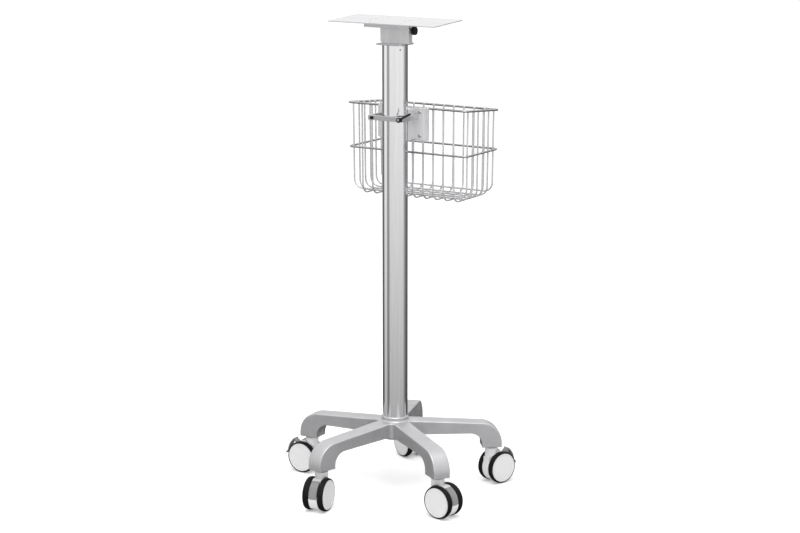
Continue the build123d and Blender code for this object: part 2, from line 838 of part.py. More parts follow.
bar_z = 792.0
bar_end = 5.0              # the bar stops this short of the mounting plate's edges
wire_face = rim_middle_y - leg_half(ring_depth, bar_z) - thin_wire - weld_gap
bar_radius = (wire_face - panel_back) / 2
bar_length = 2 * (panel_half - bar_end)
with BuildPart() as spacer_bar:
    with BuildSketch(from_side(x=panel_x - bar_length / 2, z=bar_z, y=(wire_face + panel_back) / 2)):
        Circle(bar_radius)
    extrude(amount=bar_length)
write(spacer_bar.part, "spacer_bar")

saddle_bore = column_radius + 0.4
saddle_wall = 3.2
saddle_low, saddle_high = 764.0, 830.0
saddle_front = 9.0         # the half shell begins this far behind the column's axis
saddle_block = 44.0
flange_length = 102.0
flange_thickness = 3.0
flange_front = panel_front - flange_thickness
with BuildPart() as column_saddle:
    with BuildSketch(level(saddle_low)):
        Circle(saddle_bore + saddle_wall)
        with Locations((0, saddle_front)):
            Rectangle(80, 60, align=(Align.CENTER, Align.MAX), mode=Mode.SUBTRACT)
        with Locations((0, panel_front)):
            Rectangle(saddle_block, panel_front - 20, align=(Align.CENTER, Align.MAX))
        with Locations((panel_x, panel_front)):
            Rectangle(flange_length, flange_thickness, align=(Align.CENTER, Align.MAX))
        Circle(saddle_bore, mode=Mode.SUBTRACT)
    extrude(amount=saddle_high - saddle_low)
    with BuildSketch(from_front(y=panel_front, x=panel_x)):
        with Locations(*screw_spots):
            Circle(m4_hole)
    extrude(amount=flange_thickness, mode=Mode.SUBTRACT)
write(column_saddle.part, "column_saddle")

saddle_screw_head = (3.6, 2.4)     # radius and height
saddle_screw_round = 1.2
saddle_screw_end = 1.2
saddle_screw_socket = (1.5, 1.4)
saddle_screw_set = []
for x, z in screw_spots:
    with BuildPart() as saddle_screw:
        with BuildSketch(from_front(y=flange_front, x=panel_x + x, z=z)):
            Circle(saddle_screw_head[0])
        extrude(amount=saddle_screw_head[1])
        fillet(saddle_screw.edges().sort_by(Axis.Y)[0], radius=saddle_screw_round)
        with BuildSketch(from_front(y=flange_front, x=panel_x + x, z=z)):
            Circle(m4_radius)
        extrude(amount=-(flange_thickness + panel_thickness + saddle_screw_end))
        with BuildSketch(from_front(y=flange_front - saddle_screw_head[1], x=panel_x + x, z=z)):
            RegularPolygon(saddle_screw_socket[0], 6)
        extrude(amount=-saddle_screw_socket[1], mode=Mode.SUBTRACT)
    saddle_screw_set.append(saddle_screw.part.solid())
write(Compound(children=saddle_screw_set), "saddle_screws")

bar_back = column_radius + 0.4
bar_thickness = 4.0
bar_front = -bar_back - bar_thickness
bar_corner = 1.5
arm_thickness = 4.0
clamp_left, clamp_right = -48.0, 38.0
clamp_screw_x = -38.0
left_lug, right_lug = 15.0, 12.0
clamp_arm_set = []
for outer, lug, side, hole_x in (
    (clamp_left, left_lug, 1, clamp_screw_x),
    (clamp_right, right_lug, -1, stud_x),
):
    inner = outer + side * lug
    inside = outer + side * arm_thickness
    lug_back = -bar_back + arm_thickness
    with BuildPart() as clamp_arm:
        with BuildSketch(level(arm_low)):
            with BuildLine():
                Polyline(
                    (outer, flange_front),
                    (outer, -bar_back),
                    (inner, -bar_back),
                    (inner, lug_back),
                    (inside, lug_back),
                    (inside, flange_front),
                    close=True,
                )
            make_face()
        extrude(amount=arm_high - arm_low)
        with BuildSketch(from_front(y=lug_back, x=hole_x, z=stud_z)):
            Circle(stud_radius + running_gap)
        extrude(amount=arm_thickness, mode=Mode.SUBTRACT)
    clamp_arm_set.append(clamp_arm.part.solid())
write(Compound(children=clamp_arm_set), "clamp_arms")

with BuildPart() as clamp_bar:
    with BuildSketch(from_front(y=-bar_back)):
        with Locations(((clamp_left + clamp_right) / 2, stud_z)):
            RectangleRounded(clamp_right - clamp_left, arm_high - arm_low, bar_corner)
        with Locations((clamp_screw_x, stud_z), (stud_x, stud_z)):
            Circle(stud_radius + running_gap, mode=Mode.SUBTRACT)
    extrude(amount=bar_thickness)
write(clamp_bar.part, "clamp_bar")

screw_head = (3.8, 3.0)            # radius and height
screw_head_round = 0.8
screw_socket = (1.8, 1.8)
screw_beyond_bar = 6.0
with BuildPart() as clamp_screw:
    with BuildSketch(from_front(y=bar_front, x=clamp_screw_x, z=stud_z)):
        Circle(screw_head[0])
    extrude(amount=screw_head[1])
    fillet(clamp_screw.edges().sort_by(Axis.Y)[0], radius=screw_head_round)
    with BuildSketch(from_front(y=bar_front, x=clamp_screw_x, z=stud_z)):
        Circle(stud_radius)
    extrude(amount=-(bar_thickness + screw_beyond_bar))
    with BuildSketch(from_front(y=bar_front - screw_head[1], x=clamp_screw_x, z=stud_z)):
        RegularPolygon(screw_socket[0], 6)
    extrude(amount=-screw_socket[1], mode=Mode.SUBTRACT)
write(clamp_screw.part, "clamp_screw")

lever_hub_length = 9.0
lever_hub_radius = 5.2
lever_gap = 0.4
stud_nose = (2.3, 1.2)             # radius of the stud's silver tip, and how far it shows
stud_beyond_bar = 4.0
with BuildPart() as clamp_stud:
    with BuildSketch(from_front(y=bar_front - lever_hub_length - stud_nose[1], x=stud_x, z=stud_z)):
        Circle(stud_nose[0])
    extrude(amount=-2 * stud_nose[1])
    with BuildSketch(from_front(y=bar_front - lever_hub_length, x=stud_x, z=stud_z)):
        Circle(stud_radius)
    extrude(amount=-(lever_hub_length + bar_thickness + stud_beyond_bar))
write(clamp_stud.part, "clamp_stud")

lever_angle = 28.0
lever_length = 33.0
lever_thickness = 4.8
lever_root_half, lever_tip_half = 3.0, 2.4
lever_set_back = 3.0               # the arm begins this far in front of the clamp bar
with BuildPart() as clamp_lever:
    with BuildSketch(from_front(y=bar_front - lever_gap, x=stud_x, z=stud_z)):
        Circle(lever_hub_radius)
    extrude(amount=lever_hub_length - lever_gap)
    arm_plane = Plane(
        origin=(column_x + stud_x, column_y + bar_front - lever_set_back, stud_z),
        x_dir=(cos(radians(lever_angle)), 0, sin(radians(lever_angle))),
        z_dir=(0, -1, 0),
    )
    with BuildSketch(arm_plane):
        with BuildLine():
            tip_x = lever_length - lever_tip_half
            Line((0, lever_root_half), (tip_x, lever_tip_half))
            ThreePointArc((tip_x, lever_tip_half), (lever_length, 0), (tip_x, -lever_tip_half))
            Polyline((tip_x, -lever_tip_half), (0, -lever_root_half), (0, lever_root_half))
        make_face()
    extrude(amount=lever_thickness)
    with BuildSketch(from_front(y=bar_front - lever_gap, x=stud_x, z=stud_z)):
        Circle(stud_radius)
    extrude(amount=lever_hub_length, mode=Mode.SUBTRACT)
write(clamp_lever.part, "clamp_lever")
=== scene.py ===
import bpy
import bmesh
import json
import math
from mathutils import Matrix, Vector


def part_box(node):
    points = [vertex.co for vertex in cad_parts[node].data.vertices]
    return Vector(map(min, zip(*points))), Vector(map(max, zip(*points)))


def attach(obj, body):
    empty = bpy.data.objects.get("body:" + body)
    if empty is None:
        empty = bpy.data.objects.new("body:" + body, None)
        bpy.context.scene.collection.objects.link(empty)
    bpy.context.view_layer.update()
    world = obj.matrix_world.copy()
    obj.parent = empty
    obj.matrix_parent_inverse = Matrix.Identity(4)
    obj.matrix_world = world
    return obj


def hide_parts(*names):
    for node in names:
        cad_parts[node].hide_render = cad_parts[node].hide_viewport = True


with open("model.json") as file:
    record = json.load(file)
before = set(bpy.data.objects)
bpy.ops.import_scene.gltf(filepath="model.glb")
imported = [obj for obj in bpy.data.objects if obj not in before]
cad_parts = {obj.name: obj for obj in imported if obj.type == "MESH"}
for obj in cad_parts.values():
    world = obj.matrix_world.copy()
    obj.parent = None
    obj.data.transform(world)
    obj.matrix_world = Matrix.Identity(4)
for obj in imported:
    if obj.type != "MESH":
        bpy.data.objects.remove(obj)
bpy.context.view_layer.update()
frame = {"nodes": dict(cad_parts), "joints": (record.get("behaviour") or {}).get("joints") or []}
scene = bpy.context.scene
print("frame loaded:", len(frame["nodes"]), "nodes")

# camera: place and reach in metres, turns in degrees, lens and sensor in millimetres
shot = {
    "spot": (2.2603, -3.5506, 1.400),
    "turn": 32.0,
    "downTilt": 12.2,
    "lens": 90.45,
    "sensor": 36.0,
    "reach": 200.0,
}


def makeCamera():
    data = bpy.data.cameras.new("shotCamera")
    data.lens = shot["lens"]
    data.sensor_width = shot["sensor"]
    data.clip_end = shot["reach"]
    camera = bpy.data.objects.new("shotCamera", data)
    camera.location = shot["spot"]
    camera.rotation_euler = (math.radians(90 - shot["downTilt"]), 0, math.radians(shot["turn"]))
    scene.collection.objects.link(camera)
    scene.camera = camera


makeCamera()
print("camera placed")

# studio: soft box light from above, darker walls to the side and behind, a pale floor
studio = {
    "floorSize": 60.0,
    "floorColor": (0.95, 0.95, 0.95, 1),
    "floorGlow": 0.22,
    "floorRoughness": 0.9,
    "floorShine": 0.1,
    "worldStrength": 1.35,
    "softFill": 0.80,
    "backdrop": 1.0,
    "wallTurns": [  # share of a turn from -180 degrees, brightness
        (0.000, 0.14),
        (0.035, 0.85),
        (0.105, 0.90),
        (0.135, 0.30),
        (0.175, 0.30),
        (0.205, 0.80),
        (0.545, 0.82),
        (0.640, 0.14),
        (1.000, 0.14),
    ],
    "wallHeights": [  # share of the height from straight down to straight up, brightness
        (0.00, 0.26),
        (0.34, 0.32),
        (0.40, 0.75),
        (0.45, 0.98),
        (1.00, 1.00),
    ],
    "ceilingHeights": [  # as for the walls
        (0.52, 0.00),
        (0.62, 0.88),
        (0.80, 0.96),
        (1.00, 1.00),
    ],
}


def fillRamp(ramp, stops):
    ramp.elements.remove(ramp.elements[0])
    ramp.elements[0].position = stops[0][0]
    for place, value in stops[1:]:
        ramp.elements.new(place)
    for element, (place, value) in zip(ramp.elements, stops):
        element.position = place
        element.color = (value, value, value, 1)


def makeWorld():
    world = bpy.data.worlds.new("studioWorld")
    scene.world = world
    world.use_nodes = True
    nodes, links = world.node_tree.nodes, world.node_tree.links
    nodes.clear()
    coords = nodes.new("ShaderNodeTexCoord")
    split = nodes.new("ShaderNodeSeparateXYZ")
    links.new(coords.outputs["Generated"], split.inputs[0])
    turn = nodes.new("ShaderNodeMath")
    turn.operation = "ARCTAN2"
    links.new(split.outputs["Y"], turn.inputs[0])
    links.new(split.outputs["X"], turn.inputs[1])
    share = nodes.new("ShaderNodeMapRange")
    share.inputs["From Min"].default_value = -math.pi
    share.inputs["From Max"].default_value = math.pi
    links.new(turn.outputs[0], share.inputs["Value"])
    walls = nodes.new("ShaderNodeValToRGB")
    fillRamp(walls.color_ramp, studio["wallTurns"])
    links.new(share.outputs[0], walls.inputs[0])
    height = nodes.new("ShaderNodeMapRange")
    height.inputs["From Min"].default_value = -1
    links.new(split.outputs["Z"], height.inputs["Value"])
    rise = nodes.new("ShaderNodeValToRGB")
    fillRamp(rise.color_ramp, studio["wallHeights"])
    links.new(height.outputs[0], rise.inputs[0])
    ceiling = nodes.new("ShaderNodeValToRGB")
    fillRamp(ceiling.color_ramp, studio["ceilingHeights"])
    links.new(height.outputs[0], ceiling.inputs[0])

    def mixed(blend, a, b):
        node = nodes.new("ShaderNodeMix")
        node.data_type = "RGBA"
        node.blend_type = blend
        node.inputs["Factor"].default_value = 1
        links.new(a, node.inputs["A"])
        links.new(b, node.inputs["B"])
        return node.outputs["Result"]

    def light(strength, color=None):
        node = nodes.new("ShaderNodeBackground")
        node.inputs["Color"].default_value = (1, 1, 1, 1)
        node.inputs["Strength"].default_value = strength
        if color:
            links.new(color, node.inputs["Color"])
        return node.outputs[0]

    def choose(factor, usual, special):
        node = nodes.new("ShaderNodeMixShader")
        links.new(factor, node.inputs[0])
        links.new(usual, node.inputs[1])
        links.new(special, node.inputs[2])
        return node.outputs[0]

    room = mixed("LIGHTEN", mixed("MULTIPLY", walls.outputs[0], rise.outputs[0]), ceiling.outputs[0])
    seen = nodes.new("ShaderNodeLightPath")
    reflected = light(studio["worldStrength"], room)
    bounced = choose(seen.outputs["Is Diffuse Ray"], reflected, light(studio["softFill"]))
    whole = choose(seen.outputs["Is Camera Ray"], bounced, light(studio["backdrop"]))
    out = nodes.new("ShaderNodeOutputWorld")
    links.new(whole, out.inputs[0])


def makeFloor():
    mesh = bpy.data.meshes.new("studioFloor")
    bm = bmesh.new()
    bmesh.ops.create_grid(bm, x_segments=1, y_segments=1, size=studio["floorSize"] / 2)
    bm.to_mesh(mesh)
    bm.free()
    floor = bpy.data.objects.new("studioFloor", mesh)
    scene.collection.objects.link(floor)
    material = bpy.data.materials.new("studioFloor")
    material.use_nodes = True
    shader = material.node_tree.nodes["Principled BSDF"]
    shader.inputs["Base Color"].default_value = studio["floorColor"]
    shader.inputs["Roughness"].default_value = studio["floorRoughness"]
    shader.inputs["Specular IOR Level"].default_value = studio["floorShine"]
    shader.inputs["Emission Color"].default_value = (1, 1, 1, 1)
    shader.inputs["Emission Strength"].default_value = studio["floorGlow"]
    mesh.materials.append(material)
    floor.visible_glossy = False


lamps = {  # place, aim, size, watts
    "topSoftBox": ((0.6, -1.2, 3.4), (0.0, 0.0, 0.4), 2.6, 60.0),
    "cameraFill": ((2.6, -3.0, 2.2), (0.0, 0.0, 0.5), 2.0, 15.0),
}


def makeLamps():
    for name, (place, aim, size, watts) in lamps.items():
        data = bpy.data.lights.new(name, "AREA")
        data.size = size
        data.energy = watts
        lamp = bpy.data.objects.new(name, data)
        lamp.location = place
        lamp.rotation_euler = (Vector(aim) - Vector(place)).to_track_quat("-Z", "Y").to_euler()
        scene.collection.objects.link(lamp)


makeWorld()
makeFloor()
makeLamps()
scene.view_settings.view_transform = "Standard"
print("studio built")


# shared effects
grainNoise = {"detail": 4, "roughness": 0.6, "low": 0.3, "high": 0.7}
edgeMask = {"samples": 6, "flat": 0.995, "bent": 0.86, "patchLow": 0.35, "patchHigh": 0.6}


def newGroup(name, inputs, outputs):
    group = bpy.data.node_groups.new(name, "ShaderNodeTree")
    for label, kind, value in inputs:
        socket = group.interface.new_socket(name=label, in_out="INPUT", socket_type=kind)
        socket.default_value = value
    for label, kind in outputs:
        group.interface.new_socket(name=label, in_out="OUTPUT", socket_type=kind)
    entry = group.nodes.new("NodeGroupInput")
    exit = group.nodes.new("NodeGroupOutput")
    return group, entry, exit


def makeGrainGroup():
    group, entry, exit = newGroup(
        "surfaceGrain",
        [
            ("Stretch", "NodeSocketVector", (1, 1, 1)),
            ("Scale", "NodeSocketFloat", 200.0),
            ("Low", "NodeSocketFloat", 0.0),
            ("High", "NodeSocketFloat", 1.0),
        ],
        [("Value", "NodeSocketFloat")],
    )
    nodes, links = group.nodes, group.links
    coords = nodes.new("ShaderNodeTexCoord")
    stretch = nodes.new("ShaderNodeVectorMath")
    stretch.operation = "MULTIPLY"
    links.new(coords.outputs["Object"], stretch.inputs[0])
    links.new(entry.outputs["Stretch"], stretch.inputs[1])
    noise = nodes.new("ShaderNodeTexNoise")
    noise.inputs["Detail"].default_value = grainNoise["detail"]
    noise.inputs["Roughness"].default_value = grainNoise["roughness"]
    links.new(stretch.outputs[0], noise.inputs["Vector"])
    links.new(entry.outputs["Scale"], noise.inputs["Scale"])
    spread = nodes.new("ShaderNodeMapRange")
    spread.inputs["From Min"].default_value = grainNoise["low"]
    spread.inputs["From Max"].default_value = grainNoise["high"]
    links.new(noise.outputs["Fac"], spread.inputs["Value"])
    links.new(entry.outputs["Low"], spread.inputs["To Min"])
    links.new(entry.outputs["High"], spread.inputs["To Max"])
    links.new(spread.outputs[0], exit.inputs["Value"])
    return group


def makeEdgeGroup():
    group, entry, exit = newGroup(
        "edgeWear",
        [
            ("Radius", "NodeSocketFloat", 0.001),
            ("Amount", "NodeSocketFloat", 1.0),
            ("Breakup", "NodeSocketFloat", 120.0),
        ],
        [("Mask", "NodeSocketFloat"), ("Normal", "NodeSocketVector")],
    )
    nodes, links = group.nodes, group.links
    rounded = nodes.new("ShaderNodeBevel")
    rounded.samples = edgeMask["samples"]
    links.new(entry.outputs["Radius"], rounded.inputs["Radius"])
    surface = nodes.new("ShaderNodeNewGeometry")
    bend = nodes.new("ShaderNodeVectorMath")
    bend.operation = "DOT_PRODUCT"
    links.new(rounded.outputs[0], bend.inputs[0])
    links.new(surface.outputs["Normal"], bend.inputs[1])
    edge = nodes.new("ShaderNodeMapRange")
    edge.inputs["From Min"].default_value = edgeMask["flat"]
    edge.inputs["From Max"].default_value = edgeMask["bent"]
    links.new(bend.outputs["Value"], edge.inputs["Value"])
    coords = nodes.new("ShaderNodeTexCoord")
    noise = nodes.new("ShaderNodeTexNoise")
    links.new(coords.outputs["Object"], noise.inputs["Vector"])
    links.new(entry.outputs["Breakup"], noise.inputs["Scale"])
    patchy = nodes.new("ShaderNodeMapRange")
    patchy.inputs["From Min"].default_value = edgeMask["patchLow"]
    patchy.inputs["From Max"].default_value = edgeMask["patchHigh"]
    links.new(noise.outputs["Fac"], patchy.inputs["Value"])
    both = nodes.new("ShaderNodeMath")
    both.operation = "MULTIPLY"
    links.new(edge.outputs[0], both.inputs[0])
    links.new(patchy.outputs[0], both.inputs[1])
    scaled = nodes.new("ShaderNodeMath")
    scaled.operation = "MULTIPLY"
    links.new(both.outputs[0], scaled.inputs[0])
    links.new(entry.outputs["Amount"], scaled.inputs[1])
    links.new(scaled.outputs[0], exit.inputs["Mask"])
    links.new(rounded.outputs[0], exit.inputs["Normal"])
    return group


grainGroup = makeGrainGroup()
edgeGroup = makeEdgeGroup()


def finishMaterial(name, f):
    material = bpy.data.materials.new(name)
    material.use_nodes = True
    nodes, links = material.node_tree.nodes, material.node_tree.links
    shader = nodes["Principled BSDF"]
    shader.inputs["Metallic"].default_value = f["metallic"]
    shader.inputs["Specular IOR Level"].default_value = f.get("specular", 0.5)

    def grain(stretch, scale, low, high):
        node = nodes.new("ShaderNodeGroup")
        node.node_tree = grainGroup
        node.inputs["Stretch"].default_value = stretch
        node.inputs["Scale"].default_value = scale
        node.inputs["Low"].default_value = low
        node.inputs["High"].default_value = high
        return node.outputs["Value"]

    edge = nodes.new("ShaderNodeGroup")
    edge.node_tree = edgeGroup
    edge.inputs["Radius"].default_value = f["edgeRadius"]
    edge.inputs["Amount"].default_value = f["edgeAmount"]

    cloud = nodes.new("ShaderNodeMix")
    cloud.data_type = "RGBA"
    cloud.inputs["A"].default_value = (*f["dark"], 1)
    cloud.inputs["B"].default_value = (*f["light"], 1)
    links.new(grain(f["stretch"], f["cloudScale"], 0, 1), cloud.inputs["Factor"])
    worn = nodes.new("ShaderNodeMix")
    worn.data_type = "RGBA"
    worn.inputs["B"].default_value = (*f["edgeColor"], 1)
    links.new(edge.outputs["Mask"], worn.inputs["Factor"])
    links.new(cloud.outputs["Result"], worn.inputs["A"])
    links.new(worn.outputs["Result"], shader.inputs["Base Color"])
    links.new(grain(f["stretch"], f["roughScale"], *f["roughness"]), shader.inputs["Roughness"])

    bump = nodes.new("ShaderNodeBump")
    bump.inputs["Strength"].default_value = f["bump"]
    bump.inputs["Distance"].default_value = f["bumpDepth"]
    links.new(grain(f["stretch"], f["bumpScale"], 0, 1), bump.inputs["Height"])
    links.new(edge.outputs["Normal"], bump.inputs["Normal"])
    links.new(bump.outputs[0], shader.inputs["Normal"])
    return material


finishes = {
    "castAluminium": {
        "metallic": 0.75,
        "dark": (0.42, 0.42, 0.43),
        "light": (0.50, 0.50, 0.51),
        "cloudScale": 18.0,
        "roughness": (0.34, 0.46),
        "roughScale": 60.0,
        "stretch": (1, 1, 1),
        "bump": 0.25,
        "bumpDepth": 0.0002,
        "bumpScale": 900.0,
        "edgeRadius": 0.0012,
        "edgeAmount": 0.12,
        "edgeColor": (0.85, 0.85, 0.86),
    },
    "brushedColumn": {
        "metallic": 1.0,
        "dark": (0.74, 0.74, 0.75),
        "light": (0.82, 0.82, 0.83),
        "cloudScale": 300.0,
        "roughness": (0.10, 0.18),
        "roughScale": 900.0,
        "stretch": (1, 1, 0.02),
        "bump": 0.15,
        "bumpDepth": 0.00005,
        "bumpScale": 2500.0,
        "edgeRadius": 0.0006,
        "edgeAmount": 0.4,
        "edgeColor": (0.9, 0.9, 0.9),
    },
    "satinSteel": {
        "metallic": 0.9,
        "dark": (0.54, 0.54, 0.55),
        "light": (0.62, 0.62, 0.63),
        "cloudScale": 60.0,
        "roughness": (0.30, 0.42),
        "roughScale": 400.0,
        "stretch": (0.15, 1, 1),
        "bump": 0.15,
        "bumpDepth": 0.0001,
        "bumpScale": 1500.0,
        "edgeRadius": 0.0006,
        "edgeAmount": 0.4,
        "edgeColor": (0.85, 0.85, 0.85),
    },
    "devicePlate": {
        "metallic": 0.6,
        "dark": (0.58, 0.58, 0.59),
        "light": (0.65, 0.65, 0.66),
        "cloudScale": 60.0,
        "roughness": (0.28, 0.38),
        "roughScale": 500.0,
        "stretch": (0.05, 1, 1),
        "bump": 0.15,
        "bumpDepth": 0.0001,
        "bumpScale": 1500.0,
        "edgeRadius": 0.0004,
        "edgeAmount": 0.5,
        "edgeColor": (0.9, 0.9, 0.9),
    },
    "brightWire": {
        "metallic": 0.6,
        "dark": (0.52, 0.52, 0.53),
        "light": (0.62, 0.62, 0.63),
        "cloudScale": 40.0,
        "roughness": (0.14, 0.26),
        "roughScale": 150.0,
        "stretch": (1, 1, 1),
        "bump": 0.1,
        "bumpDepth": 0.00005,
        "bumpScale": 1200.0,
        "edgeRadius": 0.0003,
        "edgeAmount": 0.0,
        "edgeColor": (0.9, 0.9, 0.9),
    },
    "rimWire": {
        "metallic": 0.9,
        "dark": (0.34, 0.34, 0.35),
        "light": (0.44, 0.44, 0.45),
        "cloudScale": 40.0,
        "roughness": (0.20, 0.32),
        "roughScale": 150.0,
        "stretch": (1, 1, 1),
        "bump": 0.1,
        "bumpDepth": 0.00005,
        "bumpScale": 1200.0,
        "edgeRadius": 0.0003,
        "edgeAmount": 0.0,
        "edgeColor": (0.9, 0.9, 0.9),
    },
    "paleSteel": {
        "metallic": 0.7,
        "dark": (0.70, 0.70, 0.71),
        "light": (0.78, 0.78, 0.79),
        "cloudScale": 60.0,
        "roughness": (0.34, 0.46),
        "roughScale": 400.0,
        "stretch": (1, 1, 0.15),
        "bump": 0.15,
        "bumpDepth": 0.0001,
        "bumpScale": 1500.0,
        "edgeRadius": 0.0006,
        "edgeAmount": 0.3,
        "edgeColor": (0.85, 0.85, 0.85),
    },
    "screwSteel": {
        "metallic": 1.0,
        "dark": (0.42, 0.42, 0.43),
        "light": (0.56, 0.56, 0.57),
        "cloudScale": 200.0,
        "roughness": (0.22, 0.34),
        "roughScale": 800.0,
        "stretch": (1, 1, 1),
        "bump": 0.1,
        "bumpDepth": 0.00005,
        "bumpScale": 2500.0,
        "edgeRadius": 0.0003,
        "edgeAmount": 0.7,
        "edgeColor": (0.8, 0.8, 0.8),
    },
    "paleCap": {
        "metallic": 0.0,
        "dark": (0.60, 0.60, 0.60),
        "light": (0.64, 0.64, 0.64),
        "cloudScale": 25.0,
        "roughness": (0.36, 0.46),
        "roughScale": 300.0,
        "stretch": (1, 1, 1),
        "bump": 0.15,
        "bumpDepth": 0.0001,
        "bumpScale": 1800.0,
        "edgeRadius": 0.0005,
        "edgeAmount": 0.4,
        "edgeColor": (0.80, 0.80, 0.80),
    },
    "paleHood": {
        "metallic": 0.0,
        "dark": (0.58, 0.58, 0.59),
        "light": (0.64, 0.64, 0.65),
        "cloudScale": 25.0,
        "roughness": (0.34, 0.46),
        "roughScale": 300.0,
        "stretch": (1, 1, 1),
        "bump": 0.2,
        "bumpDepth": 0.0001,
        "bumpScale": 1800.0,
        "edgeRadius": 0.0008,
        "edgeAmount": 0.2,
        "edgeColor": (0.86, 0.86, 0.86),
    },
    "greyPlastic": {
        "metallic": 0.0,
        "dark": (0.19, 0.19, 0.195),
        "light": (0.23, 0.23, 0.235),
        "cloudScale": 25.0,
        "roughness": (0.42, 0.55),
        "roughScale": 300.0,
        "stretch": (1, 1, 1),
        "bump": 0.3,
        "bumpDepth": 0.0001,
        "bumpScale": 1800.0,
        "edgeRadius": 0.0005,
        "edgeAmount": 0.5,
        "edgeColor": (0.45, 0.45, 0.45),
    },
    "tyreRubber": {
        "metallic": 0.0,
        "dark": (0.004, 0.004, 0.004),
        "light": (0.008, 0.008, 0.008),
        "cloudScale": 40.0,
        "roughness": (0.45, 0.62),
        "roughScale": 200.0,
        "stretch": (1, 1, 1),
        "bump": 0.3,
        "bumpDepth": 0.0002,
        "bumpScale": 1500.0,
        "edgeRadius": 0.0005,
        "edgeAmount": 0.15,
        "edgeColor": (0.02, 0.02, 0.02),
        "specular": 0.12,
    },
    "darkPlastic": {
        "metallic": 0.0,
        "dark": (0.006, 0.006, 0.006),
        "light": (0.012, 0.012, 0.012),
        "cloudScale": 60.0,
        "roughness": (0.28, 0.40),
        "roughScale": 400.0,
        "stretch": (1, 1, 1),
        "bump": 0.2,
        "bumpDepth": 0.0001,
        "bumpScale": 2200.0,
        "edgeRadius": 0.0004,
        "edgeAmount": 0.2,
        "edgeColor": (0.04, 0.04, 0.04),
        "specular": 0.25,
    },
}
materials = {name: finishMaterial(name, values) for name, values in finishes.items()}

wheelPlaces = ("back_right", "back", "left", "front", "right")
nodeFinish = {
    "star_base": "castAluminium",
    "column": "brushedColumn",
    "column_plug": "castAluminium",
    "column_washer": "screwSteel",
    "column_bolt": "screwSteel",
    "caster_stems": "screwSteel",
    "top_collar": "satinSteel",
    "collar_set_screw": "screwSteel",
    "box_bracket": "paleSteel",
    "bracket_screws": "screwSteel",
    "tilt_pin": "screwSteel",
    "knob_washer": "screwSteel",
    "tilt_tongue": "satinSteel",
    "channel_strip": "paleSteel",
    "top_plate": "devicePlate",
    "plate_screws": "screwSteel",
    "clamp_knob": "darkPlastic",
    "basket_rim": "rimWire",
    "basket_ring": "rimWire",
    "basket_cross_wires": "brightWire",
    "basket_long_wires": "brightWire",
    "spacer_bar": "brightWire",
    "mounting_plate": "paleSteel",
    "column_saddle": "paleSteel",
    "saddle_screws": "screwSteel",
    "clamp_arms": "satinSteel",
    "clamp_bar": "satinSteel",
    "clamp_screw": "darkPlastic",
    "clamp_lever": "darkPlastic",
    "clamp_stud": "screwSteel",
}
for place in wheelPlaces:
    nodeFinish[f"{place}_caster_hood"] = "paleHood"
    # each hood's pocket holds a panel coloured dark grey, darker than the pale hood around it
    nodeFinish[f"{place}_caster_panel"] = "greyPlastic"
    nodeFinish[f"{place}_caster_axle"] = "screwSteel"
    nodeFinish[f"{place}_caster_wheels"] = "paleCap"
    nodeFinish[f"{place}_caster_tyres"] = "tyreRubber"
for place in ("back_right", "left"):
    nodeFinish[f"{place}_brake_pedal"] = "greyPlastic"
    nodeFinish[f"{place}_brake_pin"] = "screwSteel"

for name, node in frame["nodes"].items():
    finish = materials[nodeFinish[name]]
    if not node.material_slots:
        node.data.materials.append(finish)
    for slot in node.material_slots:
        slot.material = finish
print("finishes given to", len(nodeFinish), "nodes")

joints = {joint["name"]: joint for joint in frame["joints"]}
meshing = {"sharpAngle": 38, "mergeDistance": 1e-7}


def finishedPiece(name, bm, turn, finish, body, nodes=()):
    bmesh.ops.transform(bm, matrix=turn, verts=bm.verts)
    bmesh.ops.recalc_face_normals(bm, faces=bm.faces)
    mesh = bpy.data.meshes.new(name)
    bm.to_mesh(mesh)
    bm.free()
    mesh.shade_smooth()
    mesh.set_sharp_from_angle(angle=math.radians(meshing["sharpAngle"]))
    mesh.materials.append(materials[finish])
    piece = bpy.data.objects.new(name, mesh)
    scene.collection.objects.link(piece)
    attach(piece, body)
    if nodes:
        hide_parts(*nodes)


def turned(bm, profile, steps):
    ring = [bm.verts.new((radius, 0, along)) for radius, along in profile]
    edges = [bm.edges.new((a, b)) for a, b in zip(ring, ring[1:] + ring[:1])]
    full = 2 * math.pi
    bmesh.ops.spin(
        bm, geom=ring + edges, axis=(0, 0, 1), cent=(0, 0, 0), angle=full, steps=steps, use_merge=True
    )
    bmesh.ops.remove_doubles(bm, verts=bm.verts, dist=meshing["mergeDistance"])


def stacked(bm, loops):
    rings = [[bm.verts.new(point) for point in loop] for loop in loops]
    for lower, upper in zip(rings, rings[1:]):
        for i in range(len(lower)):
            bm.faces.new((lower[i - 1], lower[i], upper[i], upper[i - 1]))
    bm.faces.new(rings[0])
    bm.faces.new(rings[-1])


def arc(middle, radius, start, end, steps):
    turns = [math.radians(start + (end - start) * i / steps) for i in range(steps + 1)]
    return [(middle[0] + radius * math.cos(t), middle[1] + radius * math.sin(t)) for t in turns]


wheel = {
    "steps": 96,
    "axleRadius": 0.0030,
    "axleEnd": 0.0200,
    "discRadius": 0.0300,
    "inner": 0.0100,
    "capRadius": 0.0314,
    "capStep": 0.0220,
    "capFace": 0.0229,
    "outer": 0.0240,
    "lipRadius": 0.0011,
    "lipStart": 150,
    "lipSteps": 8,
    "faceRadius": 0.0276,
    "faceRise": 0.0001,
    "seamBottom": 0.0004,
    "seamDepth": 0.0003,
    "seamWidth": 0.0010,
    "tyreStart": 0.0104,
    "tyreEnd": 0.0234,
    "tyreRadius": 0.0355,
    "crown": 0.0014,
    "shoulder": 0.0012,
    "shoulderSteps": 5,
    "crownSpots": (-0.8, -0.2, 0.2, 0.8),
    "grooveDepth": 0.0004,
    "grooveHalf": 0.06,
    "grooves": (-0.45, 0.45),
}


